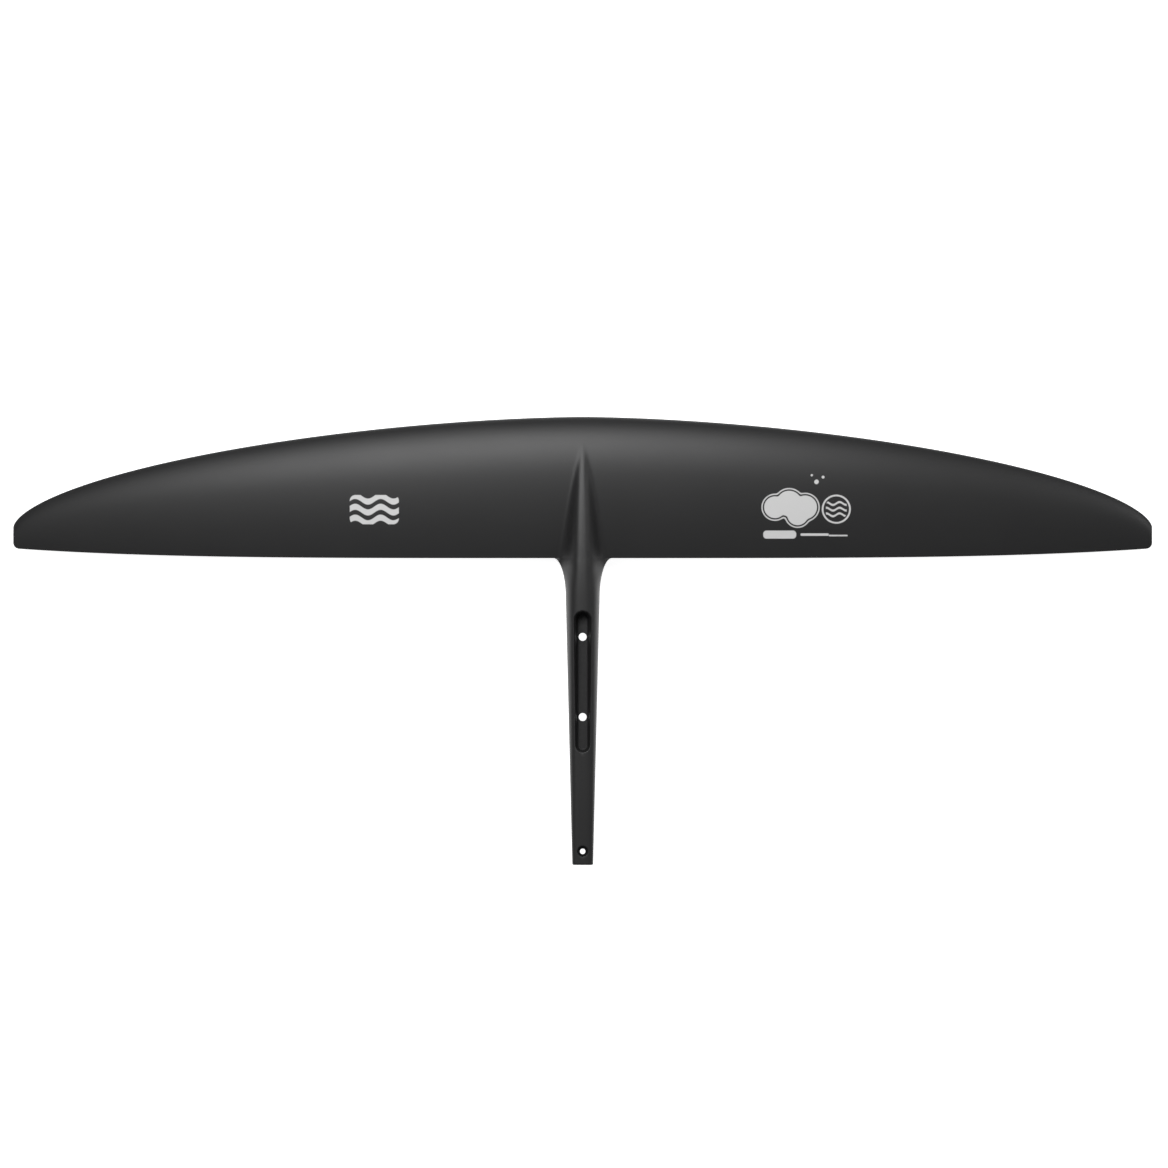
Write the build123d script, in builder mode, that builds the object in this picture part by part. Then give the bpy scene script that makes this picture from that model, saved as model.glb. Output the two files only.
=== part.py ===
"""Hydrofoil front wing with its fuselage moulded in one piece, built up from its laid-up parts.

Frame: millimetres, +X to starboard, +Y forward, +Z up. The origin is on the floor of the mast socket,
half way between the two mast bolts. The fuselage runs aft from the wing along -Y.
"""

from build123d import *
import os
from math import cos, pi, radians, sin, sqrt, tan

# Wing planform
span = 1208.0
root_chord = 150.0
trailing_edge_y = 126.0
trailing_edge_z = 2.0
incidence = 1.5  # degrees, leading edge up
tip_setback = 117.4  # how far the leading edge falls back at the tip
leading_power = 1.68  # superellipse power of the leading edge
tip_rise = 10.4  # how far the trailing edge comes forward at the tip
trailing_power = 4.15
tip_drop = 36.0  # anhedral: the tips hang this far below the root
drop_power = 2.2
tip_corner_radius = 6.0

# Wing section, as shares of the chord
root_thickness = 0.13
tip_thickness = 0.10
camber = 0.035
camber_place = 0.4
trailing_edge_thickness = 1.0  # millimetres

# Fuselage
ridge_start_y = 246.0  # where the fuselage rises out of the wing's upper surface
ridge_power = 0.7  # how fast the ridge widens behind that
ridge_flatness = 3.2  # the higher, the flatter its top
ridge_side_power = 6.0  # the higher, the hollower the fillets at its foot
edge_haste = 4.0  # how much sooner the sides turn upright than the ridge turns flat
flare_half_width = 31.0  # root fillet at the trailing edge
neck_half_width = 18.0
neck_y = 84.0  # where the root fillet has run out
tail_half_width = 11.1
tail_y = -199.5
crest_z = 26.0  # top of the fuselage at the wing's trailing edge
top_fall = 0.078  # slope of the straight top behind the neck
keel_z = -12.0
keel_rise = 3.2  # at the trailing edge
upper_ridge_power = 1.43
lower_ridge_power = 1.26
neck_squareness = 2.6  # superellipse powers of the cross-section
tail_squareness = 4.0
parting_tail_z = -4.5
ridge_overlap = 0.25  # how far the root fillet's rim is sunk into the wing
side_land = 1.0  # height of the flat strip along the fuselage's sides

# Laminates
skin = 1.3
fuselage_wall = 1.8
flare_filling = 0.2  # the root fillets are filled with solid laminate by this share
cap_thickness = 1.6
web_thickness = 4.0

# Mast socket
socket_front_y = 70.0
socket_rear_y = -80.0
socket_floor_width = 11.6
socket_draft = 8.8  # degrees each side
socket_floor_radius = 2.5
liner_wall = 2.0
liner_floor = 5.0
mast_bolt_spacing = 85.0
mast_bolt_hole = 8.4
mast_screw_head = 16.4
sleeve_diameter = 19.0
sleeve_recess = 1.0  # the sleeves' faces lie this far above the keel

# Stabiliser seat
stabiliser_bolt_y = -185.0
stabiliser_bolt_hole = 5.8
stabiliser_head = 11.0
head_depth = 2.5
seat_length = 34.0
seat_end_gap = 3.0  # from the seat to the tail's end
seat_proud = 0.6  # how far the seat stands out below the keel
sleeve_flange = 1.5
stabiliser_sleeve_diameter = 8.5

# Where the inner pieces begin and end, as shares of the chord or the half span
cavity_front = 0.045
cavity_rear_root = 0.88
cavity_rear_tip = 0.75
cavity_end = 0.93
tip_filler_start = 0.84
leading_strip_rear = 0.11
trailing_strip_front_root = 0.80
trailing_strip_front_tip = 0.66
cap_front = 0.24
cap_rear = 0.44
web_place = 0.34
centre_half_width = 30.0  # the centre block's half width
bay_clearance = 1.0  # from the liner's ends to the blocks before and behind it
tail_block_front_y = -150.0
seat_half_width = 8.0
seat_corner_radius = 2.0

half_span = span / 2
reach_z = 100.0  # higher and lower than anything on the wing
cap_margin = 0.03
parting_margin = 20.0
section_points = 9
body_points = 15
stations = [sin(pi / 2 * i / 8) ** (2 / leading_power) for i in range(9)]
stations = [-t for t in reversed(stations[1:])] + stations


# ---- the wing's surfaces -------------------------------------------------------------------


def leading_edge(t):
    """Y of the leading edge at the share t of the half span."""
    reach = max(0.0, 1 - abs(t) ** leading_power) ** (1 / leading_power)
    return trailing_edge_y + root_chord - tip_setback * (1 - reach)


def trailing_edge(t):
    """Y of the trailing edge."""
    return trailing_edge_y + tip_rise * abs(t) ** trailing_power


def chord(t):
    return leading_edge(t) - trailing_edge(t)


def place(t, f):
    """Y at the chord share f behind the leading edge."""
    return leading_edge(t) - f * chord(t)


def camber_z(t, f):
    """Height of the mean surface."""
    if f < camber_place:
        bow = camber / camber_place**2 * (2 * camber_place * f - f * f)
    else:
        bow = camber / (1 - camber_place) ** 2 * (1 - 2 * camber_place + 2 * camber_place * f - f * f)
    droop = tip_drop * abs(t) ** drop_power
    return trailing_edge_z - droop + chord(t) * (bow + (1 - f) * tan(radians(incidence)))


def half_thickness(t, f):
    """Half the section's height, in millimetres."""
    ratio = root_thickness + (tip_thickness - root_thickness) * abs(t)
    round_part = 0.2969 * sqrt(f) - 0.126 * f - 0.3516 * f**2 + 0.2843 * f**3 - 0.1036 * f**4
    return 5 * ratio * round_part * chord(t) + trailing_edge_thickness / 2 * f


def spaced(first, last, count=section_points):
    """Shares of the chord, closer together near the front."""
    return [first + (last - first) * (1 - cos(pi * i / (count - 1))) / 2 for i in range(count)]


def upper_z(t, f, inset=0.0):
    return camber_z(t, f) + half_thickness(t, f) - inset


def lower_z(t, f, inset=0.0):
    return camber_z(t, f) - half_thickness(t, f) + inset


def cavity_rear(t):
    return cavity_rear_root + (cavity_rear_tip - cavity_rear_root) * abs(t)


# ---- the fuselage's surfaces ---------------------------------------------------------------


def parting_z(y):
    """Height of the line where the upper and lower shells meet, behind the wing."""
    aft = (trailing_edge_y - y) / (trailing_edge_y - tail_y)
    return trailing_edge_z + (parting_tail_z - trailing_edge_z) * aft


def ridge_share(y):
    return (ridge_start_y - y) / (ridge_start_y - trailing_edge_y)


def half_width(y):
    """Half width of the fuselage, root fillet included."""
    if y >= trailing_edge_y:
        return flare_half_width * ridge_share(y) ** ridge_power
    if y >= neck_y:
        along = (y - neck_y) / (trailing_edge_y - neck_y)
        return neck_half_width + (flare_half_width - neck_half_width) * (1 - sqrt(1 - along**2))
    along = (neck_y - y) / (neck_y - tail_y)
    return neck_half_width + (tail_half_width - neck_half_width) * along


def top_z(y):
    if y >= trailing_edge_y:
        rise = crest_z - upper_z(0, 1)
        return upper_z(0, (leading_edge(0) - y) / root_chord) + rise * ridge_share(y) ** upper_ridge_power
    turned = min(1.0, (trailing_edge_y - y) / (trailing_edge_y - neck_y))
    straight = max(0.0, neck_y - y)
    return crest_z - top_fall * ((trailing_edge_y - neck_y) * turned**2 / 2 + straight)


def bottom_z(y):
    if y >= trailing_edge_y:
        fall = lower_z(0, 1) - keel_z - keel_rise
        return lower_z(0, (leading_edge(0) - y) / root_chord) - fall * ridge_share(y) ** lower_ridge_power
    if y >= neck_y:
        return keel_z + keel_rise * ((y - neck_y) / (trailing_edge_y - neck_y)) ** 2
    return keel_z


def ridge_width(y):
    """Half width of the ridge's foot, which goes on widening behind the trailing edge."""
    return flare_half_width * ridge_share(y) ** ridge_power


def section_shape(y, angle):
    """A point of the cross-section for a half width and a height of 1: a bell over the wing, which turns
    into a soft rectangle between the trailing edge and the neck."""
    behind = max(0.0, (neck_y - y) / (neck_y - tail_y))
    square = neck_squareness + (tail_squareness - neck_squareness) * behind
    scale = (abs(cos(angle)) ** square + sin(angle) ** square) ** (1 / square)
    past_wing = min(1.0, max(0.0, (trailing_edge_y - y) / (trailing_edge_y - neck_y)))
    turned = past_wing**2 * (3 - 2 * past_wing)
    across = cos(angle) * (1 + (1 / scale - 1) * turned)
    foot = min(1.0, abs(across) * half_width(y) / ridge_width(y))
    bell = (1 - foot**ridge_flatness) ** ridge_side_power
    box = max(0.0, 1 - abs(across) ** square) ** (1 / square)
    return across, bell ** (1 - turned) * box ** min(1.0, edge_haste * turned)


def side_heights(y, inset):
    """Upper and lower end of the cross-section's upright side."""
    if y >= trailing_edge_y:
        f = (leading_edge(0) - y) / root_chord
        middle = camber_z(0, f)
        half = max(side_land / 4, half_thickness(0, f) - ridge_overlap - (skin if inset else 0))
    else:
        middle = parting_z(y)
        half = side_land / 4
    return middle + half, middle - half


def body_profile(y, inset, upper):
    """Points across the fuselage at y, from starboard to port, on its upper or lower side."""
    reach = half_width(y)
    if inset:
        flare = min(1.0, max(0.0, (y - neck_y) / (trailing_edge_y - neck_y)))
        reach = reach * (1 - flare_filling * flare)
    high, low = side_heights(y, inset)
    base = high if upper else low
    crown = top_z(y) - inset if upper else bottom_z(y) + inset
    points = []
    for i in range(body_points):
        across, up = section_shape(y, max(0.0, pi * i / (body_points - 1)))
        points.append(((reach - inset) * across, base + (crown - base) * up))
    return points


def skin_points(t, front, rear, inset, count=section_points):
    """The upper surface from front to rear and the lower one from rear to front, as (y, z) points."""
    shares = spaced(front, rear, count)
    over = [(place(t, f), upper_z(t, f, inset)) for f in shares]
    under = [(place(t, f), lower_z(t, f, inset)) for f in reversed(shares)]
    return over, under


# ---- places that follow from the sizes -----------------------------------------------------

draft_slope = tan(radians(socket_draft))
floor_front_y = socket_front_y - top_z(socket_front_y) * draft_slope
floor_rear_y = socket_rear_y + top_z(socket_rear_y) * draft_slope
socket_floor_length = floor_front_y - floor_rear_y
socket_middle_y = (floor_front_y + floor_rear_y) / 2
bay_front_y = socket_front_y + liner_wall + bay_clearance
bay_rear_y = socket_rear_y - liner_wall - bay_clearance
bay_ends = (centre_half_width / half_span - cap_margin, tip_filler_start + cap_margin)
recess_z = top_z(stabiliser_bolt_y) - head_depth
seat_z = keel_z - seat_proud


# ---- solids that the pieces are cut from ---------------------------------------------------

# The wing's outside
with BuildPart() as wing_outside:
    for t in stations:
        over, under = skin_points(t, 0, 1, 0)
        with BuildSketch(Plane.YZ.offset(t * half_span)):
            with BuildLine():
                Spline(*under, *over[1:])
                Line(over[-1], under[0])
            make_face()
    loft()

# What is cut off the rear corners of the tips to round them
with BuildPart() as tip_corners:
    with BuildSketch(Plane.XY.offset(-reach_z)):
        with Locations((half_span, trailing_edge(1))):
            Rectangle(2 * tip_corner_radius, 2 * tip_corner_radius)
        with Locations((half_span - tip_corner_radius, trailing_edge(1) + tip_corner_radius)):
            Circle(tip_corner_radius, mode=Mode.SUBTRACT)
    extrude(amount=2 * reach_z)
    mirror(about=Plane.YZ)

# The hollow inside the wing's skins
with BuildPart() as wing_hollow:
    for t in [s * cavity_end for s in stations]:
        over, under = skin_points(t, cavity_front, cavity_rear(t), skin)
        with BuildSketch(Plane.YZ.offset(t * half_span)):
            with BuildLine():
                Spline(*over)
                Line(over[-1], under[0])
                Spline(*under)
                Line(under[-1], over[0])
            make_face()
    loft()

# The space between the spar caps
with BuildPart() as between_caps:
    for t in [s * (tip_filler_start + cap_margin / 3) for s in stations]:
        ends = cap_front - cap_margin, cap_rear + cap_margin
        over, under = skin_points(t, *ends, skin + cap_thickness, 5)
        with BuildSketch(Plane.YZ.offset(t * half_span)):
            with BuildLine():
                Spline(*over)
                Line(over[-1], under[0])
                Spline(*under)
                Line(under[-1], over[0])
            make_face()
    loft()


def body_section(y, inset):
    """The fuselage's cross-section at y, drawn inset by so much."""
    over = body_profile(y, inset, True)
    under = body_profile(y, inset, False)
    with BuildSketch(Plane.XZ.offset(-y)) as section:
        with BuildLine():
            Spline(*over)
            Line(over[-1], under[-1])
            Spline(*reversed(under))
            Line(under[0], over[0])
        make_face()
    return section.sketch


ridge_stations = [trailing_edge_y + (240 - trailing_edge_y) * i / 6 for i in range(6, -1, -1)]
flare_stations = [neck_y + (trailing_edge_y - neck_y) * cos(pi / 2 * i / 7) for i in range(8)]

# The fuselage's outside: its ridge in the wing, the flare behind the wing, and the straight length aft
with BuildPart() as body_outside:
    loft([body_section(y, 0) for y in ridge_stations])
    loft([body_section(y, 0) for y in flare_stations], ruled=True)
    loft([body_section(y, 0) for y in (neck_y, tail_y)], ruled=True)

# The hollow inside the fuselage's walls
with BuildPart() as body_hollow:
    loft([body_section(y, fuselage_wall) for y in ridge_stations[1:]])
    loft([body_section(y, fuselage_wall) for y in flare_stations], ruled=True)
    loft([body_section(y, fuselage_wall) for y in (neck_y, tail_y + fuselage_wall)], ruled=True)

# Everything above the line where the two shells meet
with BuildPart() as above_parting:
    for t in [-1.02] + stations + [1.02]:
        on_wing = max(-1.0, min(1.0, t))
        ahead = leading_edge(0) + parting_margin
        behind = tail_y - parting_margin
        with BuildSketch(Plane.YZ.offset(t * half_span)):
            with BuildLine():
                mean = [(place(on_wing, f), camber_z(on_wing, f)) for f in spaced(0, 1)]
                Line((ahead, mean[0][1]), mean[0])
                Spline(*mean)
                Polyline(
                    mean[-1],
                    (behind, parting_z(behind) - tip_drop * abs(on_wing) ** drop_power),
                    (behind, reach_z),
                    (ahead, reach_z),
                    (ahead, mean[0][1]),
                )
            make_face()
    loft()

# The space that the mast's foot fits
with BuildPart() as socket_space:
    with BuildSketch(Plane.XY):
        with Locations((0, socket_middle_y)):
            SlotOverall(socket_floor_length, socket_floor_width, rotation=90)
    extrude(amount=reach_z / 2, taper=-socket_draft)
    fillet(socket_space.faces().sort_by(Axis.Z)[0].edges(), socket_floor_radius)

# The outside of the socket's liner
with BuildPart() as liner_outside:
    with BuildSketch(Plane.XY.offset(-liner_floor)):
        growth = 2 * (liner_wall / cos(radians(socket_draft)) - liner_floor * tan(radians(socket_draft)))
        with Locations((0, socket_middle_y)):
            SlotOverall(socket_floor_length + growth, socket_floor_width + growth, rotation=90)
    extrude(amount=reach_z / 2, taper=-socket_draft)

# The stabiliser's seat, and the pockets for the sleeves
with BuildPart() as seat_pad:
    with BuildSketch(Plane.XY.offset(seat_z)):
        with Locations((0, tail_y + seat_end_gap + seat_length / 2)):
            RectangleRounded(2 * seat_half_width, seat_length, seat_corner_radius)
    extrude(amount=fuselage_wall + 2 * seat_proud)

with BuildPart() as mast_sleeve_pockets:
    with BuildSketch(Plane.XY.offset(-liner_floor)):
        with GridLocations(0, mast_bolt_spacing, 1, 2):
            Circle(sleeve_diameter / 2)
    extrude(amount=-reach_z / 2)

with BuildPart() as mast_bolt_holes:
    with BuildSketch(Plane.XY.offset(-reach_z / 2)):
        with GridLocations(0, mast_bolt_spacing, 1, 2):
            Circle(mast_bolt_hole / 2)
    extrude(amount=reach_z)

with BuildPart() as stabiliser_pocket:
    with BuildSketch(Plane.XY.offset(seat_z)):
        with Locations((0, stabiliser_bolt_y)):
            Circle(stabiliser_sleeve_diameter / 2)
    extrude(amount=recess_z - seat_z)
    with BuildSketch(Plane.XY.offset(recess_z - sleeve_flange)):
        with Locations((0, stabiliser_bolt_y)):
            Circle(stabiliser_head / 2)
    extrude(amount=reach_z / 2)


def plan_band(front, rear, first_t, last_t, front_shift=0.0, rear_shift=0.0):
    """The plan of a strip of the wing between two curves, each a share of the chord given as a function."""
    places = [first_t + (last_t - first_t) * i / 8 for i in range(9)]
    ahead = [(t * half_span, place(t, front(t)) + front_shift) for t in places]
    behind = [(t * half_span, place(t, rear(t)) + rear_shift) for t in reversed(places)]
    with BuildSketch(Plane.XY.offset(-reach_z)) as plan:
        with BuildLine():
            Spline(*ahead)
            Line(ahead[-1], behind[0])
            Spline(*behind)
            Line(behind[-1], ahead[0])
        make_face()
    return plan.sketch


def block_plan(low_x, high_x, low_y, high_y, z=-reach_z):
    """A rectangle in plan, to cut a length of the fuselage or the wing with."""
    with BuildSketch(Plane.XY.offset(z)) as plan:
        with Locations(((low_x + high_x) / 2, (low_y + high_y) / 2)):
            Rectangle(high_x - low_x, high_y - low_y)
    return plan.sketch


def trailing_front(t):
    return trailing_strip_front_root + (trailing_strip_front_tip - trailing_strip_front_root) * abs(t)


# ---- the pieces ----------------------------------------------------------------------------

os.makedirs("parts", exist_ok=True)


def finish_piece(part, name):
    part.label = name
    export_step(part, f"parts/{name}.step")


# The laminate all round, before it is parted into the two mouldings
with BuildPart() as walls:
    add(wing_outside.part)
    add(body_outside.part)
    add(tip_corners.part, mode=Mode.SUBTRACT)
    add(wing_hollow.part, mode=Mode.SUBTRACT)
    add(body_hollow.part, mode=Mode.SUBTRACT)

with BuildPart() as upper_shell:
    add(walls.part)
    add(above_parting.part, mode=Mode.INTERSECT)
    add(socket_space.part, mode=Mode.SUBTRACT)
    add(stabiliser_pocket.part, mode=Mode.SUBTRACT)
finish_piece(upper_shell.part, "upper_shell")

with BuildPart() as lower_shell:
    add(walls.part)
    add(above_parting.part, mode=Mode.SUBTRACT)
    add(mast_sleeve_pockets.part, mode=Mode.SUBTRACT)
    add(seat_pad.part, mode=Mode.SUBTRACT)
finish_piece(lower_shell.part, "lower_shell")

# Spar caps: unidirectional strips under the skins, running through from tip block to tip block
with BuildPart() as spar_caps:
    add(wing_hollow.part)
    band = plan_band(lambda t: cap_front, lambda t: cap_rear, -tip_filler_start, tip_filler_start)
    extrude(band, amount=2 * reach_z, mode=Mode.INTERSECT)
    add(between_caps.part, mode=Mode.SUBTRACT)

for name, solid in zip(("lower_spar_cap", "upper_spar_cap"), spar_caps.solids().sort_by(Axis.Z)):
    with BuildPart() as spar_cap:
        add(solid)
    finish_piece(spar_cap.part, name)

# The block under the fuselage's ridge, notched for the caps
with BuildPart() as centre_block:
    add(wing_hollow.part)
    add(body_hollow.part)
    plan = block_plan(-centre_half_width, centre_half_width, bay_front_y, leading_edge(0))
    extrude(plan, amount=2 * reach_z, mode=Mode.INTERSECT)
    add(spar_caps.part, mode=Mode.SUBTRACT)
finish_piece(centre_block.part, "centre_block")

# What fills each half of the wing. It is made to starboard and mirrored to port.
with BuildPart() as wing_bay:
    add(wing_hollow.part)
    plan = block_plan(centre_half_width, tip_filler_start * half_span, 0, leading_edge(0))
    extrude(plan, amount=2 * reach_z, mode=Mode.INTERSECT)
    add(spar_caps.part, mode=Mode.SUBTRACT)

strips = {
    "leading_edge_strip": plan_band(lambda t: 0.0, lambda t: leading_strip_rear, *bay_ends),
    "forward_core": plan_band(
        lambda t: leading_strip_rear, lambda t: web_place, *bay_ends, rear_shift=web_thickness / 2
    ),
    "spar_web": plan_band(
        lambda t: web_place, lambda t: web_place, *bay_ends, web_thickness / 2, -web_thickness / 2
    ),
    "aft_core": plan_band(lambda t: web_place, trailing_front, *bay_ends, front_shift=-web_thickness / 2),
    "trailing_edge_strip": plan_band(trailing_front, lambda t: 1.0, *bay_ends),
}
for name, plan in strips.items():
    with BuildPart() as strip:
        add(wing_bay.part)
        extrude(plan, amount=2 * reach_z, mode=Mode.INTERSECT)
    finish_piece(strip.part, f"{name}_starboard")
    with BuildPart() as port_strip:
        add(strip.part.mirror(Plane.YZ))
    finish_piece(port_strip.part, f"{name}_port")

with BuildPart() as tip_block:
    add(wing_hollow.part)
    plan = block_plan(tip_filler_start * half_span, half_span, 0, leading_edge(0))
    extrude(plan, amount=2 * reach_z, mode=Mode.INTERSECT)
finish_piece(tip_block.part, "tip_block_starboard")
with BuildPart() as port_tip_block:
    add(tip_block.part.mirror(Plane.YZ))
finish_piece(port_tip_block.part, "tip_block_port")

# The socket's tub, which the mast's foot is bolted into from below
with BuildPart() as mast_socket_liner:
    add(liner_outside.part)
    add(body_hollow.part, mode=Mode.INTERSECT)
    add(socket_space.part, mode=Mode.SUBTRACT)
    add(mast_bolt_holes.part, mode=Mode.SUBTRACT)
finish_piece(mast_socket_liner.part, "mast_socket_liner")

# The rails beside the socket, and the block below it
with BuildPart() as socket_bay:
    add(body_hollow.part)
    plan = block_plan(-centre_half_width, centre_half_width, bay_rear_y, bay_front_y)
    extrude(plan, amount=2 * reach_z, mode=Mode.INTERSECT)
    add(liner_outside.part, mode=Mode.SUBTRACT)

with BuildPart() as keel_block:
    add(socket_bay.part)
    plan = block_plan(-centre_half_width, centre_half_width, bay_rear_y, bay_front_y)
    extrude(plan, amount=reach_z - liner_floor, mode=Mode.INTERSECT)
    add(mast_sleeve_pockets.part, mode=Mode.SUBTRACT)
finish_piece(keel_block.part, "keel_block")

for name, low_x, high_x in (("port", -centre_half_width, 0), ("starboard", 0, centre_half_width)):
    with BuildPart() as rail:
        add(socket_bay.part)
        plan = block_plan(low_x, high_x, bay_rear_y, bay_front_y, -liner_floor)
        extrude(plan, amount=reach_z, mode=Mode.INTERSECT)
    finish_piece(rail.part, f"socket_side_rail_{name}")

# Countersunk sleeves for the two mast bolts, let in from below
for name, y in (("rear", -mast_bolt_spacing / 2), ("front", mast_bolt_spacing / 2)):
    with BuildPart() as sleeve:
        with BuildSketch(Plane.XY.offset(keel_z + sleeve_recess)):
            with Locations((0, y)):
                Circle(sleeve_diameter / 2)
        extrude(amount=-liner_floor - keel_z - sleeve_recess)
        with Locations(Location((0, y, keel_z + sleeve_recess), (180, 0, 0))):
            CounterSinkHole(mast_bolt_hole / 2, mast_screw_head / 2)
    finish_piece(sleeve.part, f"mast_bolt_sleeve_{name}")

# Behind the socket: a foam core, and the solid block that the stabiliser is bolted to
with BuildPart() as tail_core:
    add(body_hollow.part)
    plan = block_plan(-centre_half_width, centre_half_width, tail_block_front_y, bay_rear_y)
    extrude(plan, amount=2 * reach_z, mode=Mode.INTERSECT)
finish_piece(tail_core.part, "tail_core")

with BuildPart() as tail_block:
    add(body_hollow.part)
    plan = block_plan(-centre_half_width, centre_half_width, tail_y, tail_block_front_y)
    extrude(plan, amount=2 * reach_z, mode=Mode.INTERSECT)
    add(seat_pad.part)
    add(stabiliser_pocket.part, mode=Mode.SUBTRACT)
finish_piece(tail_block.part, "tail_block")

with BuildPart() as stabiliser_bolt_sleeve:
    with BuildSketch(Plane.XY.offset(seat_z)):
        with Locations((0, stabiliser_bolt_y)):
            Circle(stabiliser_sleeve_diameter / 2)
    extrude(amount=recess_z - seat_z)
    with BuildSketch(Plane.XY.offset(recess_z)):
        with Locations((0, stabiliser_bolt_y)):
            Circle(stabiliser_head / 2)
    extrude(amount=-sleeve_flange)
    with Locations((0, stabiliser_bolt_y, recess_z)):
        Hole(stabiliser_bolt_hole / 2)
finish_piece(stabiliser_bolt_sleeve.part, "stabiliser_bolt_sleeve")
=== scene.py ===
import bmesh
import bpy
from math import copysign, cos, hypot, pi, radians, sin, sqrt, tan
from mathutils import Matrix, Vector


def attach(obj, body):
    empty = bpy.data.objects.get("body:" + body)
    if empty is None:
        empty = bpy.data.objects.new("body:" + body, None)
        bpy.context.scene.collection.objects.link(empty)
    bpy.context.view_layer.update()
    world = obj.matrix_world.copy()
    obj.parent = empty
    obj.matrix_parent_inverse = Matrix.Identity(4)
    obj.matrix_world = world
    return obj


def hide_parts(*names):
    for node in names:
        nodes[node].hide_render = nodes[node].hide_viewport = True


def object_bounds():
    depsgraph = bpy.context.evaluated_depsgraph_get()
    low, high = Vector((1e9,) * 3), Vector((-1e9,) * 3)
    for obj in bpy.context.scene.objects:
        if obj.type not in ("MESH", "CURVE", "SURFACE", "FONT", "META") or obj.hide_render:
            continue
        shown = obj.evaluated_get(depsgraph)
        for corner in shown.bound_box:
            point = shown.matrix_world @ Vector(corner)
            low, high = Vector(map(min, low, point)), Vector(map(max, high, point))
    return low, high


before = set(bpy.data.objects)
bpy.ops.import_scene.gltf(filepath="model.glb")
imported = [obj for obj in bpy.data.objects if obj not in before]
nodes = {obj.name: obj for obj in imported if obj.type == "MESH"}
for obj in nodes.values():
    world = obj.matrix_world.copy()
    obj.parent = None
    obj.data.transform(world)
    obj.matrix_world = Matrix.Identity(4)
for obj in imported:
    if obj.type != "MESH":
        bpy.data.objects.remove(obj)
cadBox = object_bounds()
print("frame loaded:", len(nodes), "nodes")


def linear(hexColour):
    # sRGB hex to the linear values that shaders want
    values = [int(hexColour[i:i + 2], 16) / 255 for i in (1, 3, 5)]
    return [v / 12.92 if v <= 0.04045 else ((v + 0.055) / 1.055) ** 2.4 for v in values] + [1.0]


def setInputs(tree, node, inputs):
    # each input takes a value, or the socket that feeds it, or the node whose first live output does
    for name, value in inputs.items():
        if isinstance(value, bpy.types.Node):
            value = next(output for output in value.outputs if output.enabled)
        if isinstance(value, bpy.types.NodeSocket):
            tree.links.new(value, node.inputs[name])
        else:
            node.inputs[name].default_value = value


def addNode(tree, kind, settings=None, inputs=None):
    node = tree.nodes.new(kind)
    for name, value in (settings or {}).items():
        setattr(node, name, value)
    setInputs(tree, node, inputs or {})
    return node


def newMaterial(name):
    material = bpy.data.materials.new(name)
    material.use_nodes = True
    tree = material.node_tree
    tree.nodes.clear()
    shader = addNode(tree, "ShaderNodeBsdfPrincipled")
    addNode(tree, "ShaderNodeOutputMaterial", inputs={"Surface": shader})
    return material, tree, shader


def inMillimetres(tree):
    # the surface point in the object's own frame
    place = addNode(tree, "ShaderNodeTexCoord").outputs["Object"]
    return addNode(tree, "ShaderNodeVectorMath", {"operation": "SCALE"}, {0: place, "Scale": 1000})


# plain shapes in light grey ink, in mm from the frame's origin
marks = {
    "ink": "#cbcbcb", "inkRoughness": 0.55, "softEdge": 0.35, "upwardFrom": 0.2,
    "waveMark": {"centre": (-221, 177.5), "size": (52, 31), "corner": 6, "pitch": 11.5,
                 "stroke": 6.4, "swing": 3.0, "length": 27},
    "cloud": [(204, 180, 11.5), (219, 184, 13.5), (236, 180, 12.5), (228, 172, 11)],  # x, y, radius
    "cloudBlend": 3.0, "cloudGap": 1.6, "cloudLine": 1.3,
    "dots": [(248, 207, 2.4), (255, 212, 1.5), (243, 214, 1.2)],  # x, y, radius
    "roundel": (269, 178, 14.5), "roundelLine": 1.8,
    "roundelWave": {"centre": (269, 178), "size": (22, 18), "corner": 5, "pitch": 6.0,
                    "stroke": 2.2, "swing": 1.5, "length": 14},
    # centre, size, corner
    "bars": [((209, 151), (35, 8.5), 3.5), ((246, 151), (30, 2.6), 1.2), ((271, 150), (20, 1.6), 0.7)],
}


def discDistance(tree, point, x, y, radius):
    away = addNode(tree, "ShaderNodeVectorMath", {"operation": "DISTANCE"}, {0: point, 1: (x, y, 0)})
    return addNode(tree, "ShaderNodeMath", {"operation": "SUBTRACT"}, {0: away, 1: radius})


def boxDistance(tree, point, centre, size, corner):
    # rounded rectangle: negative inside
    half = (size[0] / 2 - corner, size[1] / 2 - corner, 0)
    shifted = addNode(tree, "ShaderNodeVectorMath", {"operation": "SUBTRACT"}, {0: point, 1: (*centre, 0)})
    folded = addNode(tree, "ShaderNodeVectorMath", {"operation": "ABSOLUTE"}, {0: shifted})
    beyond = addNode(tree, "ShaderNodeVectorMath", {"operation": "SUBTRACT"}, {0: folded, 1: half})
    outside = addNode(tree, "ShaderNodeVectorMath", {"operation": "MAXIMUM"}, {0: beyond, 1: (0, 0, 0)})
    length = addNode(tree, "ShaderNodeVectorMath", {"operation": "LENGTH"}, {0: outside})
    return addNode(tree, "ShaderNodeMath", {"operation": "SUBTRACT"}, {0: length, 1: corner})


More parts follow.
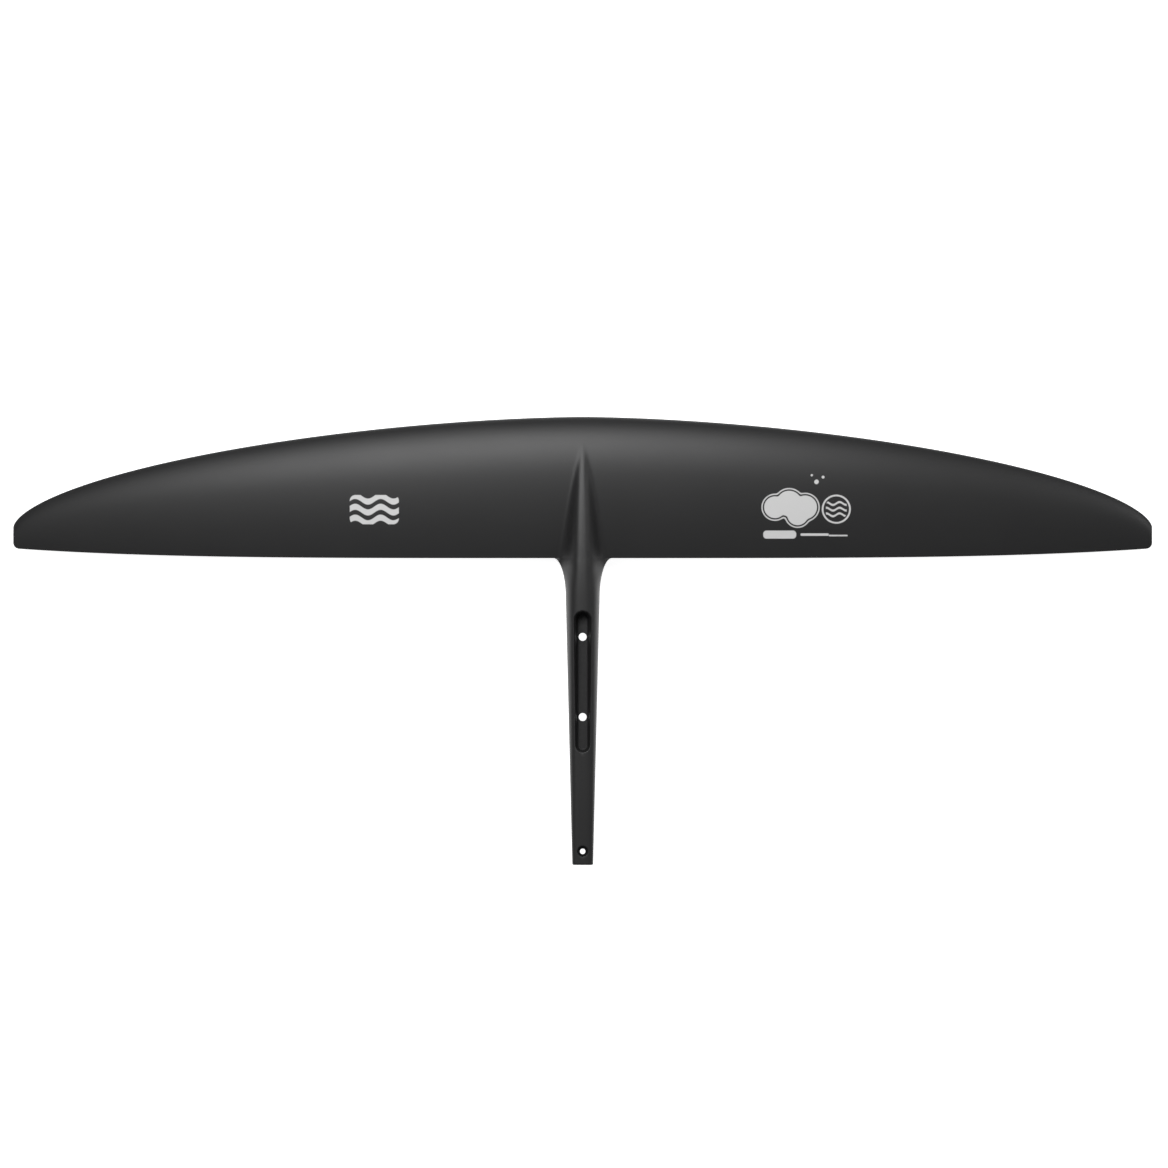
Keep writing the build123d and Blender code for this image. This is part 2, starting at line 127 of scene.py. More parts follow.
def waveDistance(tree, point, wave):
    # parallel wave strokes inside a rounded rectangle
    x, y = wave["centre"]
    parts = addNode(tree, "ShaderNodeSeparateXYZ", inputs={0: point}).outputs
    along = addNode(tree, "ShaderNodeMath", {"operation": "SUBTRACT"}, {0: parts[0], 1: x})
    phase = addNode(tree, "ShaderNodeMath", {"operation": "MULTIPLY"}, {0: along, 1: 2 * pi / wave["length"]})
    turn = addNode(tree, "ShaderNodeMath", {"operation": "SINE"}, {0: phase})
    swing = addNode(tree, "ShaderNodeMath", {"operation": "MULTIPLY"}, {0: turn, 1: wave["swing"]})
    height = addNode(tree, "ShaderNodeMath", {"operation": "SUBTRACT"}, {0: parts[1], 1: y})
    height = addNode(tree, "ShaderNodeMath", {"operation": "SUBTRACT"}, {0: height, 1: swing})
    repeated = addNode(tree, "ShaderNodeMath", {"operation": "WRAP"},
                       {0: height, 1: wave["pitch"] / 2, 2: -wave["pitch"] / 2})
    folded = addNode(tree, "ShaderNodeMath", {"operation": "ABSOLUTE"}, {0: repeated})
    stroke = addNode(tree, "ShaderNodeMath", {"operation": "SUBTRACT"}, {0: folded, 1: wave["stroke"] / 2})
    box = boxDistance(tree, point, wave["centre"], wave["size"], wave["corner"])
    return addNode(tree, "ShaderNodeMath", {"operation": "MAXIMUM"}, {0: stroke, 1: box})


def lineAlong(tree, distance, width):
    # a line of this width along the edge of the shape that the distance is from
    folded = addNode(tree, "ShaderNodeMath", {"operation": "ABSOLUTE"}, {0: distance})
    return addNode(tree, "ShaderNodeMath", {"operation": "SUBTRACT"}, {0: folded, 1: width / 2})


def inkMask(tree, place):
    # 1 on the ink, 0 beside it
    point = addNode(tree, "ShaderNodeVectorMath", {"operation": "MULTIPLY"}, {0: place, 1: (1, 1, 0)})
    nearest = waveDistance(tree, point, marks["waveMark"])
    shapes = [discDistance(tree, point, *dot) for dot in marks["dots"]]
    shapes += [boxDistance(tree, point, *bar) for bar in marks["bars"]]
    shapes.append(waveDistance(tree, point, marks["roundelWave"]))
    shapes.append(lineAlong(tree, discDistance(tree, point, *marks["roundel"]), marks["roundelLine"]))
    cloud = discDistance(tree, point, *marks["cloud"][0])
    for disc in marks["cloud"][1:]:
        cloud = addNode(tree, "ShaderNodeMath", {"operation": "SMOOTH_MIN"},
                        {0: cloud, 1: discDistance(tree, point, *disc), 2: marks["cloudBlend"]})
    contour = addNode(tree, "ShaderNodeMath", {"operation": "SUBTRACT"},
                      {0: cloud, 1: marks["cloudGap"] + marks["cloudLine"] / 2})
    shapes += [cloud, lineAlong(tree, contour, marks["cloudLine"])]
    for shape in shapes:
        nearest = addNode(tree, "ShaderNodeMath", {"operation": "MINIMUM"}, {0: nearest, 1: shape})
    edge = marks["softEdge"]
    mask = addNode(tree, "ShaderNodeMapRange", {"clamp": True},
                   {"Value": nearest, "From Min": edge, "From Max": -edge, "To Min": 0.0, "To Max": 1.0})
    normal = addNode(tree, "ShaderNodeNewGeometry").outputs["Normal"]
    facing = addNode(tree, "ShaderNodeSeparateXYZ", inputs={0: normal}).outputs[2]
    upward = addNode(tree, "ShaderNodeMath", {"operation": "GREATER_THAN"},
                     {0: facing, 1: marks["upwardFrom"]})
    return addNode(tree, "ShaderNodeMath", {"operation": "MULTIPLY"}, {0: mask, 1: upward})


# sizes in mm; the fibres' repeats are per mm along the span, the chord and the height, and coarser than the
# real ones so that they show
laminate = {
    "dark": "#111112", "pale": "#171718", "roughness": (0.44, 0.50), "ior": 1.5,
    "cloudSize": 60, "cloudShare": 0.6, "fibreRepeat": (0.02, 1 / 1.1, 0.3), "fibreShare": 0.4,
    "peelSize": 2.6, "peelHeight": 0.02, "peelStrength": 0.25,
}


def clearCoatedCarbon(name, printed):
    # Carbon cloth under matt clear coat, rubbed out of a polished mould: a deep black with a soft wide
    # sheen, slightly uneven where the coat took up more or less of the rubbing.
    material, tree, shader = newMaterial(name)
    place = inMillimetres(tree)
    clouds = addNode(tree, "ShaderNodeTexNoise",
                     inputs={"Vector": place, "Scale": 1 / laminate["cloudSize"], "Detail": 3})
    stretch = addNode(tree, "ShaderNodeMapping", inputs={"Vector": place, "Scale": laminate["fibreRepeat"]})
    fibres = addNode(tree, "ShaderNodeTexNoise", inputs={"Vector": stretch, "Scale": 1, "Detail": 2})
    cloudPart = addNode(tree, "ShaderNodeMath", {"operation": "MULTIPLY"},
                        {0: clouds, 1: laminate["cloudShare"]})
    fibrePart = addNode(tree, "ShaderNodeMath", {"operation": "MULTIPLY"},
                        {0: fibres, 1: laminate["fibreShare"]})
    blend = addNode(tree, "ShaderNodeMath", {"operation": "ADD"}, {0: cloudPart, 1: fibrePart})
    colour = addNode(tree, "ShaderNodeMix", {"data_type": "RGBA"},
                     {"Factor": blend, "A": linear(laminate["dark"]), "B": linear(laminate["pale"])})
    low, high = laminate["roughness"]
    rough = addNode(tree, "ShaderNodeMapRange", inputs={"Value": blend, "To Min": low, "To Max": high})
    peel = addNode(tree, "ShaderNodeTexNoise",
                   inputs={"Vector": place, "Scale": 1 / laminate["peelSize"], "Detail": 2})
    if printed:
        ink = inkMask(tree, place)
        colour = addNode(tree, "ShaderNodeMix", {"data_type": "RGBA"},
                         {"Factor": ink, "A": colour, "B": linear(marks["ink"])})
        duller = addNode(tree, "ShaderNodeMath", {"operation": "MULTIPLY"},
                         {0: ink, 1: marks["inkRoughness"] - high})
        rough = addNode(tree, "ShaderNodeMath", {"operation": "ADD"}, {0: rough, 1: duller})
    bump = addNode(tree, "ShaderNodeBump", inputs={"Height": peel, "Strength": laminate["peelStrength"],
                                                   "Distance": laminate["peelHeight"] / 1000})
    setInputs(tree, shader, {"Base Color": colour, "Roughness": rough,
                             "Normal": bump, "IOR": laminate["ior"]})
    return material


def tint(tree, shader, pattern, finish):
    # the pattern runs the colour from dark to pale, and the roughness between its two values
    tone = addNode(tree, "ShaderNodeMix", {"data_type": "RGBA"},
                   {"Factor": pattern, "A": linear(finish["dark"]), "B": linear(finish["pale"])})
    setInputs(tree, shader, {"Base Color": tone})
    if isinstance(finish["roughness"], tuple):
        low, high = finish["roughness"]
        rough = addNode(tree, "ShaderNodeMapRange", inputs={"Value": pattern, "To Min": low, "To Max": high})
        setInputs(tree, shader, {"Roughness": rough})
    else:
        setInputs(tree, shader, {"Roughness": finish["roughness"]})


pressMoulding = {"dark": "#0c0c0d", "pale": "#161617", "chipSize": 3.0, "roughness": (0.62, 0.74)}


def mouldedCarbon():
    # Chopped carbon pressed in a steel tool: dull black with faint short chips.
    material, tree, shader = newMaterial("pressMouldedCarbon")
    chips = addNode(tree, "ShaderNodeTexVoronoi",
                    inputs={"Vector": inMillimetres(tree), "Scale": 1 / pressMoulding["chipSize"]})
    tint(tree, shader, chips.outputs["Distance"], pressMoulding)
    return material


# repeats per mm along the span, the chord and the height
tows = {"dark": "#18181a", "pale": "#3a3a3d", "repeat": (0.01, 1.2, 1.2), "roughness": 0.4}


def unidirectionalCarbon():
    # Straight fibre tows laid along the span: dark grey with fine lines.
    material, tree, shader = newMaterial("unidirectionalCarbonTows")
    stretch = addNode(tree, "ShaderNodeMapping",
                      inputs={"Vector": inMillimetres(tree), "Scale": tows["repeat"]})
    lines = addNode(tree, "ShaderNodeTexNoise", inputs={"Vector": stretch, "Scale": 1, "Detail": 3})
    tint(tree, shader, lines, tows)
    return material


foam = {"dark": "#d9cfae", "pale": "#efe8cf", "cellSize": 1.2, "cellDepth": 0.3, "roughness": 0.9}


def cutFoam():
    # Closed-cell core foam, cut with a hot wire: pale, matt, with fine cells.
    material, tree, shader = newMaterial("closedCellCoreFoam")
    cells = addNode(tree, "ShaderNodeTexVoronoi",
                    inputs={"Vector": inMillimetres(tree), "Scale": 1 / foam["cellSize"]}).outputs["Distance"]
    tint(tree, shader, cells, foam)
    bump = addNode(tree, "ShaderNodeBump", inputs={"Height": cells, "Distance": foam["cellDepth"] / 1000})
    setInputs(tree, shader, {"Normal": bump})
    return material


# repeats per mm across and along the bolt
turning = {"dark": "#a9a9a6", "pale": "#bfbfbc", "repeat": (0.3, 0.3, 8), "roughness": (0.22, 0.38)}


def turnedSteel():
    # Stainless steel turned on a lathe: bright grey with fine rings from the tool.
    material, tree, shader = newMaterial("turnedStainlessSteel")
    squash = addNode(tree, "ShaderNodeMapping",
                     inputs={"Vector": inMillimetres(tree), "Scale": turning["repeat"]})
    rings = addNode(tree, "ShaderNodeTexNoise", inputs={"Vector": squash, "Scale": 1, "Detail": 2})
    tint(tree, shader, rings, turning)
    setInputs(tree, shader, {"Metallic": 1.0})
    return material


oxide = {"dark": "#161617", "pale": "#242425", "patchSize": 4.0, "roughness": (0.38, 0.5)}


def blackOxideSteel():
    # Steel sleeve with a hot black oxide finish: near black, with a low metallic glint.
    material, tree, shader = newMaterial("blackOxideSteel")
    patches = addNode(tree, "ShaderNodeTexNoise",
                      inputs={"Vector": inMillimetres(tree), "Scale": 1 / oxide["patchSize"], "Detail": 3})
    tint(tree, shader, patches, oxide)
    setInputs(tree, shader, {"Metallic": 1.0})
    return material


finishes = {
    "oxide": blackOxideSteel(),
    "printedSkin": clearCoatedCarbon("mattClearCoatOverCarbonPrinted", True),
    "skin": clearCoatedCarbon("mattClearCoatOverCarbon", False),
    "moulded": mouldedCarbon(),
    "tows": unidirectionalCarbon(),
    "foam": cutFoam(),
    "steel": turnedSteel(),
}
print("materials made:", len(finishes))


def finishFor(name):
    if name == "upper_shell":
        return finishes["printedSkin"]
    if name == "lower_shell":
        return finishes["skin"]
    if name == "stabiliser_bolt_sleeve":
        return finishes["oxide"]
    if "sleeve" in name:
        return finishes["steel"]
    if "spar" in name:
        return finishes["tows"]
    if "core" in name:
        return finishes["foam"]
    return finishes["moulded"]


# sizes in mm, the same as the frame's; in the functions t is the share of the half span, f of the chord
wing = {
    "halfSpan": 604.0, "rootChord": 150.0, "trailingY": 126.0, "trailingZ": 2.0, "incidence": 1.5,
    "setback": 117.4, "leadingPower": 1.68, "tipRise": 10.4, "trailingPower": 4.15,
    "drop": 36.0, "dropPower": 2.2, "tipCorner": 6.0, "tipRound": 1.1,
    "rootThickness": 0.13, "tipThickness": 0.10, "camber": 0.035, "camberPlace": 0.4, "edge": 1.0,
    "thicknessSeries": (0.2969, -0.126, -0.3516, 0.2843, -0.1036),  # the standard four-digit section
}
fuselage = {
    "ridgeStart": 246.0, "ridgePower": 0.7, "ridgeFlatness": 3.2, "ridgeSidePower": 6.0,
    "flareHalf": 31.0, "neckHalf": 18.0, "neckY": 84.0, "tailHalf": 11.1, "tailY": -199.5,
    "crestZ": 26.0, "topFall": 0.078, "keelZ": -12.0, "keelRise": 3.2,
    "upperPower": 1.43, "lowerPower": 1.26, "edgeHaste": 4.0, "neckSquareness": 2.6, "tailSquareness": 4.0,
    "partingTailZ": -4.5, "sideLand": 0.25, "tailRound": 1.5,
}
# cut through the skins: the mast socket and the stabiliser's recess above, the sleeves and the seat below;
# the recess and the sleeves are a place along the fuselage and a radius
openings = {
    "slot": {"front": 70.0, "rear": -80.0, "floorHalf": 5.8, "draft": 8.8},
    "recess": (-185.0, 5.5), "sleeves": [(42.5, 9.5), (-42.5, 9.5)],
    "seat": {"front": -162.5, "rear": -196.5, "half": 8.0, "corner": 2.0},
    "searchHalf": 15.0, "searchSteps": 40, "closed": -1e-6,
}
# walls, lips and spacings in mm, then how finely the skins are divided
skins = {
    "wingWall": 1.3, "bodyWall": 1.8, "lip": 0.9, "lowerLip": 0.25,
    "rowStep": 4.0, "rowGap": 0.6, "sameRow": 0.02, "tailGap": 0.3, "innerPull": 0.4, "sideShare": 0.98,
    "chordRows": 44, "spanColumns": 64, "bodyColumns": 22, "flareRows": 14, "endRows": 8, "lipSteps": 3,
    "tipSteps": 4, "tailSteps": 4, "crease": 40, "mergeWithin": 2e-6, "flatWithin": 1e-6,
}


def leadingEdge(t):
    reach = max(0.0, 1 - abs(t) ** wing["leadingPower"]) ** (1 / wing["leadingPower"])
    return wing["trailingY"] + wing["rootChord"] - wing["setback"] * (1 - reach)


def trailingEdge(t):
    return wing["trailingY"] + wing["tipRise"] * abs(t) ** wing["trailingPower"]


def camberZ(t, f):
    bow, place = wing["camber"], wing["camberPlace"]
    if f < place:
        bow = bow / place ** 2 * (2 * place * f - f * f)
    else:
        bow = bow / (1 - place) ** 2 * (1 - 2 * place + 2 * place * f - f * f)
    droop = wing["drop"] * abs(t) ** wing["dropPower"]
    chord = leadingEdge(t) - trailingEdge(t)
    return wing["trailingZ"] - droop + chord * (bow + (1 - f) * tan(radians(wing["incidence"])))


def halfThickness(t, f):
    ratio = wing["rootThickness"] + (wing["tipThickness"] - wing["rootThickness"]) * abs(t)
    a, b, c, d, e = wing["thicknessSeries"]
    shape = a * sqrt(f) + b * f + c * f ** 2 + d * f ** 3 + e * f ** 4
    return 5 * ratio * shape * (leadingEdge(t) - trailingEdge(t)) + wing["edge"] / 2 * f


def ridgeShare(y):
    return max(0.0, (fuselage["ridgeStart"] - y) / (fuselage["ridgeStart"] - wing["trailingY"]))


def behindWing(y):
    # 0 at the trailing edge, 1 from the neck on
    return min(1.0, max(0.0, (wing["trailingY"] - y) / (wing["trailingY"] - fuselage["neckY"])))


def alongTail(y):
    return max(0.0, (fuselage["neckY"] - y) / (fuselage["neckY"] - fuselage["tailY"]))


def halfWidth(y):
    if y >= wing["trailingY"]:
        return fuselage["flareHalf"] * ridgeShare(y) ** fuselage["ridgePower"]
    flare = sqrt(max(0.0, 1 - (1 - behindWing(y)) ** 2))
    neck = fuselage["neckHalf"] + (fuselage["flareHalf"] - fuselage["neckHalf"]) * (1 - flare)
    return neck + (fuselage["tailHalf"] - fuselage["neckHalf"]) * alongTail(y)


def bell(u):
    return max(0.0, 1 - min(1.0, abs(u)) ** fuselage["ridgeFlatness"]) ** fuselage["ridgeSidePower"]


def topZ(y):
    flat = (wing["trailingY"] - fuselage["neckY"]) * behindWing(y) ** 2 / 2
    return fuselage["crestZ"] - fuselage["topFall"] * (flat + max(0.0, fuselage["neckY"] - y))


def bottomZ(y):
    return fuselage["keelZ"] + fuselage["keelRise"] * (1 - behindWing(y)) ** 2


def partingZ(y):
    aft = (wing["trailingY"] - y) / (wing["trailingY"] - fuselage["tailY"])
    return wing["trailingZ"] + (fuselage["partingTailZ"] - wing["trailingZ"]) * aft


def wingPoint(x, f, upper):
    # a point of the wing's skin with the ridge on it, and the parting height there
    reach = min(abs(x) / wing["halfSpan"], 1.0)
    front, rear = leadingEdge(reach), trailingEdge(reach)
    corner = wing["tipCorner"]
    intoCorner = min(corner, max(0.0, abs(x) - (wing["halfSpan"] - corner)))
    back = rear + corner - sqrt(corner ** 2 - intoCorner ** 2)
    y = front - f * (front - back)
    share = (front - y) / (front - rear)
    intoTip = min(1.0, max(0.0, abs(x) - (wing["halfSpan"] - wing["tipRound"])) / wing["tipRound"])
    half = halfThickness(reach, share) * sqrt(1 - intoTip ** 2)
    middle = camberZ(reach, share)
    width = halfWidth(y)
    bulge = bell(x / width) if width > 0 else 0.0
    if upper:
        rise = fuselage["crestZ"] - camberZ(0, 1) - halfThickness(0, 1)
        return y, middle + half + rise * ridgeShare(y) ** fuselage["upperPower"] * bulge, middle
    fall = camberZ(0, 1) - halfThickness(0, 1) - fuselage["keelZ"] - fuselage["keelRise"]
    return y, middle - half - fall * ridgeShare(y) ** fuselage["lowerPower"] * bulge, middle


def bodyHeight(across, y, upper):
    # height of the fuselage's surface at a share of its half width
    neck, tail = fuselage["neckSquareness"], fuselage["tailSquareness"]
    square = neck + (tail - neck) * alongTail(y)
    box = max(0.0, 1 - min(1.0, abs(across)) ** square) ** (1 / square)
    turned = behindWing(y) ** 2 * (3 - 2 * behindWing(y))
    foot = across * halfWidth(y) / (fuselage["flareHalf"] * ridgeShare(y) ** fuselage["ridgePower"])
    up = bell(foot) ** (1 - turned) * box ** min(1.0, fuselage["edgeHaste"] * turned)
    land = wing["edge"] / 2 + (fuselage["sideLand"] - wing["edge"] / 2) * behindWing(y)
    if upper:
        base = partingZ(y) + land
        return base + (topZ(y) - base) * up
    base = partingZ(y) - land
    return base + (bottomZ(y) - base) * up


def slotHalf(y):
    return openings["slot"]["floorHalf"] + topZ(y) * tan(radians(openings["slot"]["draft"]))


def holeDistance(x, y, upper):
    # distance from the nearest opening's edge in plan, negative inside
    if upper:
        slot = openings["slot"]
        front, rear = slotHalf(slot["front"]), slotHalf(slot["rear"])
        if y > slot["front"] - front:
            away = hypot(x, y - slot["front"] + front) - front
        elif y < slot["rear"] + rear:
            away = hypot(x, y - slot["rear"] - rear) - rear
        else:
            away = abs(x) - slotHalf(y)
        place, radius = openings["recess"]
        return min(away, hypot(x, y - place) - radius)
    seat = openings["seat"]
    corner = seat["corner"]
    aside = abs(x) - seat["half"] + corner
    along = abs(y - (seat["front"] + seat["rear"]) / 2) - (seat["front"] - seat["rear"]) / 2 + corner
    away = hypot(max(aside, 0), max(along, 0)) + min(0, max(aside, along)) - corner
    return min([away] + [hypot(x, y - place) - radius for place, radius in openings["sleeves"]])


def holeHalf(y, upper):
    # half the width of the opening at y: the distance is 0 there
    if holeDistance(0, y, upper) > openings["closed"]:
        return 0.0
    low, high = 0.0, openings["searchHalf"]
    for _ in range(openings["searchSteps"]):
        middle = (low + high) / 2
        low, high = (middle, high) if holeDistance(middle, y, upper) < 0 else (low, middle)
    return low


def easedSteps(size, count, start=0):
    # from 0 out to the size, short steps first
    return [size * (1 - cos(pi / 2 * i / count)) for i in range(start, count + 1)]


def bodyStations():
    # places behind the wing and how far the surface is rounded in there; they are closer together in the
    # flare, round the ends of the openings and over the tail's edge
    wingY, neckY, tailY = wing["trailingY"], fuselage["neckY"], fuselage["tailY"]
    flareRows, tailRound = skins["flareRows"], fuselage["tailRound"]
    tail = tailY + tailRound
    count = int((neckY - tail) / skins["rowStep"])
    rows = [neckY + (wingY - neckY) * cos(pi / 2 * i / flareRows) for i in range(flareRows + 1)]
    rows += [neckY - (neckY - tail) * i / count for i in range(1, count + 1)]
    slot, seat = openings["slot"], openings["seat"]
    ends = [(slot["front"], -slotHalf(slot["front"])), (slot["rear"], slotHalf(slot["rear"]))]
    for place, radius in [openings["recess"]] + openings["sleeves"]:
        ends += [(place + radius, -radius), (place - radius, radius)]
    ends += [(seat["front"], -seat["corner"]), (seat["rear"], seat["corner"])]
    endRows = []
    for end, depth in ends:
        endRows += [end + step for step in easedSteps(depth, skins["endRows"])]
        endRows += [end - copysign(step, depth) for step in easedSteps(skins["lip"], skins["lipSteps"], 1)]
    spaced = [y for y in rows if all(abs(y - other) > skins["rowGap"] for other in endRows)]
    merged = []
    for y in sorted(spaced + endRows, reverse=True):
        if not merged or merged[-1] - y > skins["sameRow"]:
            merged.append(y)
    straight = [y for y in merged if y > tail + skins["tailGap"]] + [tail]
    turns = [pi / 2 * i / skins["tailSteps"] for i in range(1, skins["tailSteps"] + 1)]
    rounded = [(tailY + tailRound * (1 - sin(turn)), tailRound * (1 - cos(turn))) for turn in turns]
    return [(y, 0.0) for y in straight[1:]] + rounded


def across(hole, reach, lip):
    # places from the opening's edge, or the middle, out to the side
    places = [hole] + [hole + step for step in easedSteps(lip, skins["lipSteps"], 1)]
    shares = [sin(pi / 2 * i / skins["bodyColumns"]) for i in range(1, skins["bodyColumns"] + 1)]
    return places + [places[-1] + (reach - places[-1]) * share for share in shares]


def alongSpan():
    # places from the flare's side out to the tip, closer together towards the tip and round its edge
    flare, tipRound = fuselage["flareHalf"], wing["tipRound"]
    columns, steps = skins["spanColumns"], skins["tipSteps"]
    tipStart = wing["halfSpan"] - tipRound
    places = [flare + (tipStart - flare) * sin(pi / 2 * i / columns) for i in range(1, columns + 1)]
    return places + [tipStart + tipRound * sin(pi / 2 * i / steps) for i in range(1, steps + 1)]


def skinGrids(bm, stations, upper, side, inner):
    # Rows of vertices over one half of the wing, rows along the fuselage behind it, and half the opening's
    # width at each of those. The inner skin lies a wall's thickness away and runs out on the parting.
    sign = 1 if upper else -1
    lip = skins["lip"] if upper else skins["lowerLip"]

    def vertex(x, y, z, parting, wall):
        if inner:
            z = parting + sign * max(0.0, sign * (z - parting) - wall)
        return bm.verts.new((side * x / 1000, y / 1000, z / 1000))

    wingPlaces = across(0.0, fuselage["flareHalf"], lip) + alongSpan()
    wingRows, bodyLines, holes = [], [], []
    for i in range(skins["chordRows"] + 1):
        f = (1 - cos(pi * i / skins["chordRows"])) / 2
        row = []
        for x in wingPlaces:
            y, z, parting = wingPoint(x, f, upper)
            row.append(vertex(x, y, z, parting, skins["wingWall"]))
        wingRows.append(row)
    for y, rounding in stations:
        hole, reach = holeHalf(y, upper), halfWidth(y) - rounding
        row = []
        for x in across(hole, reach, lip):
            away = max(0.0, holeDistance(x, y, upper))
            fallen = lip - sqrt(max(0.0, lip ** 2 - (lip - away) ** 2)) if away < lip else 0.0
            z = bodyHeight(x / reach, y, upper) - sign * (fallen + rounding)
            if inner and hole == 0.0 and x < halfWidth(y) * skins["sideShare"]:
                x = x * (1 - skins["innerPull"] * skins["bodyWall"] / halfWidth(y))
            row.append(vertex(x, y, z, partingZ(y), skins["bodyWall"]))
        bodyLines.append(row)
        holes.append(hole)
    return wingRows, bodyLines, holes


def joinLines(bm, outer, inner, forward):
    for quad in zip(outer, outer[1:], inner[1:], inner):
        bm.faces.new(quad if forward else quad[::-1])


def halfSkin(bm, stations, upper, side):
    # the outer and the inner skin on one side of the middle, and what closes them together
    wingRows, bodyLines, holes = skinGrids(bm, stations, upper, side, False)
    innerRows, innerLines, _ = skinGrids(bm, stations, upper, side, True)
    bodyCount = len(bodyLines[0])
    forward = (side > 0) == upper
    for rows, lines, ahead in ((wingRows, bodyLines, not forward), (innerRows, innerLines, forward)):
        wide = [(rows[j], rows[j + 1]) for j in range(len(rows) - 1)]
        narrow = [(a[:bodyCount], b[:bodyCount]) for a, b in zip([rows[-1]] + lines, lines)]
        for a, b in wide + narrow:
            for i in range(len(a) - 1):
                quad = (a[i], b[i], b[i + 1], a[i + 1])
                bm.faces.new(quad if ahead else quad[::-1])
    # the wing's trailing edge and the fuselage's side close on the parting
    outerEdge = wingRows[-1][bodyCount - 1:][::-1] + [line[-1] for line in bodyLines]
    innerEdge = innerRows[-1][bodyCount - 1:][::-1] + [line[-1] for line in innerLines]
    joinLines(bm, outerEdge, innerEdge, forward)
    joinLines(bm, bodyLines[-1], innerLines[-1], not forward)
    # rims round the openings
    outerMiddle = [line[0] for line in [wingRows[-1]] + bodyLines]
    innerMiddle = [line[0] for line in [innerRows[-1]] + innerLines]
    for j, pair in enumerate(zip([0.0] + holes, holes)):
        if max(pair) > 0:
            joinLines(bm, outerMiddle[j:j + 2], innerMiddle[j:j + 2], not forward)


def skinMesh(name, upper):
    # one half of the moulding as a closed shell
    bm = bmesh.new()
    stations = bodyStations()
    for side in (1, -1):
        halfSkin(bm, stations, upper, side)
    bmesh.ops.remove_doubles(bm, verts=bm.verts, dist=skins["mergeWithin"])
    bmesh.ops.dissolve_degenerate(bm, edges=bm.edges, dist=skins["flatWithin"])
    loose = [v for v in bm.verts if not v.link_faces]
    bmesh.ops.delete(bm, geom=loose, context="VERTS")
    bmesh.ops.recalc_face_normals(bm, faces=bm.faces)
    for face in bm.faces:
        face.smooth = True
    for edge in bm.edges:
        if len(edge.link_faces) != 2 or edge.calc_face_angle(0.0) > radians(skins["crease"]):
            edge.smooth = False
    openEdges = sum(1 for edge in bm.edges if len(edge.link_faces) != 2)
    print(name, len(bm.verts), "vertices, edges without two faces:", openEdges)
    mesh = bpy.data.meshes.new(name)
    bm.to_mesh(mesh)
    bm.free()
    obj = bpy.data.objects.new(name, mesh)
    bpy.context.collection.objects.link(obj)
    return obj


upperSkin = skinMesh("upperSkin", True)
lowerSkin = skinMesh("lowerSkin", False)
for obj, node in ((upperSkin, "upper_shell"), (lowerSkin, "lower_shell")):
    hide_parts(node)
    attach(obj, "root")
upperSkin.data.materials.append(finishes["printedSkin"])
lowerSkin.data.materials.append(finishes["skin"])
for name, obj in nodes.items():
    obj.data.materials.clear()
    obj.data.materials.append(finishFor(name))
print("materials assigned")

# a lit white table under the wing, sizes in m
table = {"half": 4.0, "colour": "#f6f6f6", "glow": 0.85, "grainSize": 50, "roughness": (0.8, 0.95)}


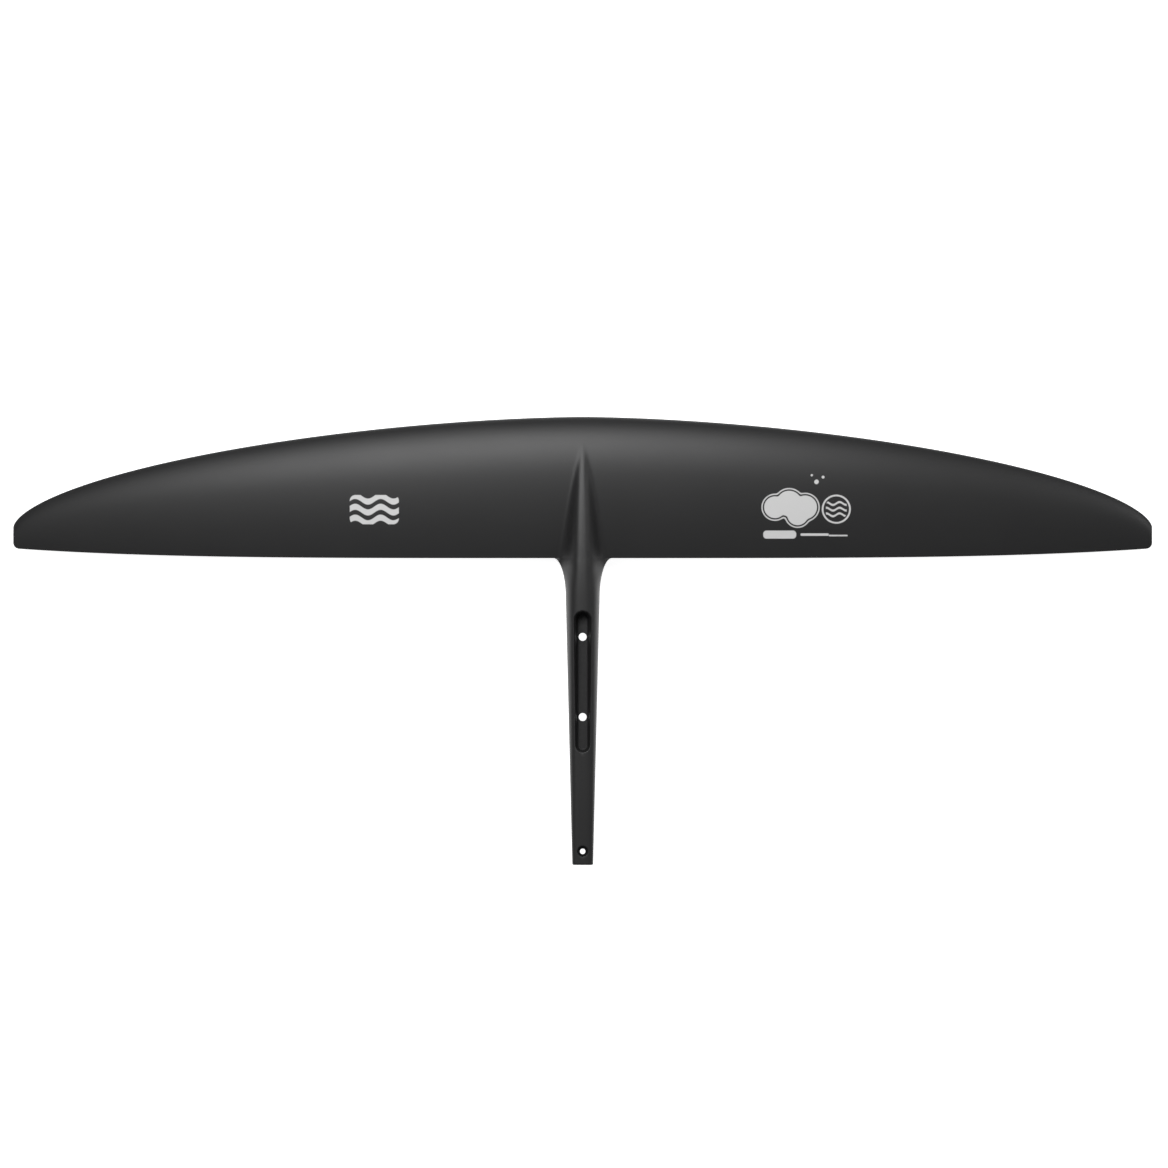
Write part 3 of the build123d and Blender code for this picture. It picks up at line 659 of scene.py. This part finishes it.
def litTable():
    # White acrylic sheet lit from below: even and matt, so the outline stands out sharply.
    half, z = table["half"], cadBox[0][2]
    mesh = bpy.data.meshes.new("studioFloor")
    corners = [(-half, -half, z), (half, -half, z), (half, half, z), (-half, half, z)]
    mesh.from_pydata(corners, [], [(0, 1, 2, 3)])
    floor = bpy.data.objects.new("studioFloor", mesh)
    bpy.context.collection.objects.link(floor)
    material, tree, shader = newMaterial("whiteAcrylicTable")
    grain = addNode(tree, "ShaderNodeTexNoise",
                    inputs={"Vector": inMillimetres(tree), "Scale": 1 / table["grainSize"]})
    low, high = table["roughness"]
    rough = addNode(tree, "ShaderNodeMapRange", inputs={"Value": grain, "To Min": low, "To Max": high})
    setInputs(tree, shader, {"Roughness": rough, "Base Color": linear(table["colour"]),
                             "Emission Color": (1, 1, 1, 1), "Emission Strength": table["glow"]})
    mesh.materials.append(material)
    return floor


floor = litTable()

# the room: below the table's edge it is as white as the table itself
room = {"strength": 0.27, "belowStrength": 1.0, "belowFrom": -0.02}
world = bpy.data.worlds.new("studio")
bpy.context.scene.world = world
world.use_nodes = True
background = world.node_tree.nodes["Background"]
direction = addNode(world.node_tree, "ShaderNodeTexCoord").outputs["Generated"]
height = addNode(world.node_tree, "ShaderNodeSeparateXYZ", inputs={0: direction}).outputs[2]
strength = addNode(world.node_tree, "ShaderNodeMapRange",
                   inputs={"Value": height, "From Min": 0.0, "From Max": room["belowFrom"],
                           "To Min": room["strength"], "To Max": room["belowStrength"]})
setInputs(world.node_tree, background, {"Color": (1, 1, 1, 1), "Strength": strength})

# a soft bank overhead and in front, and a weak fill; places and sizes in m
banks = {
    "aim": (0, 0.16, 0),
    "mainBank": {"place": (-0.20, 0.60, 1.35), "size": (1.0, 0.42), "power": 17.0},
    "fillBank": {"place": (1.7, 0.75, 1.4), "size": (0.6, 0.6), "power": 6.0},
}


def softBank(name):
    values = banks[name]
    data = bpy.data.lights.new(name, "AREA")
    data.shape = "RECTANGLE"
    data.size, data.size_y = values["size"]
    data.energy = values["power"]
    bank = bpy.data.objects.new(name, data)
    bpy.context.collection.objects.link(bank)
    bank.location = values["place"]
    bank.rotation_euler = (Vector(banks["aim"]) - Vector(values["place"])).to_track_quat("-Z", "Y").to_euler()


softBank("mainBank")
softBank("fillBank")

camera = {"place": (0.0014, 0.0986, 3.0), "width": 1.2389}
cameraData = bpy.data.cameras.new("camera")
cameraData.type = "ORTHO"
cameraData.ortho_scale = camera["width"]
cameraObject = bpy.data.objects.new("camera", cameraData)
bpy.context.collection.objects.link(cameraObject)
cameraObject.location = camera["place"]
bpy.context.scene.camera = cameraObject
bpy.context.scene.view_settings.view_transform = "Standard"
print("studio and camera ready")
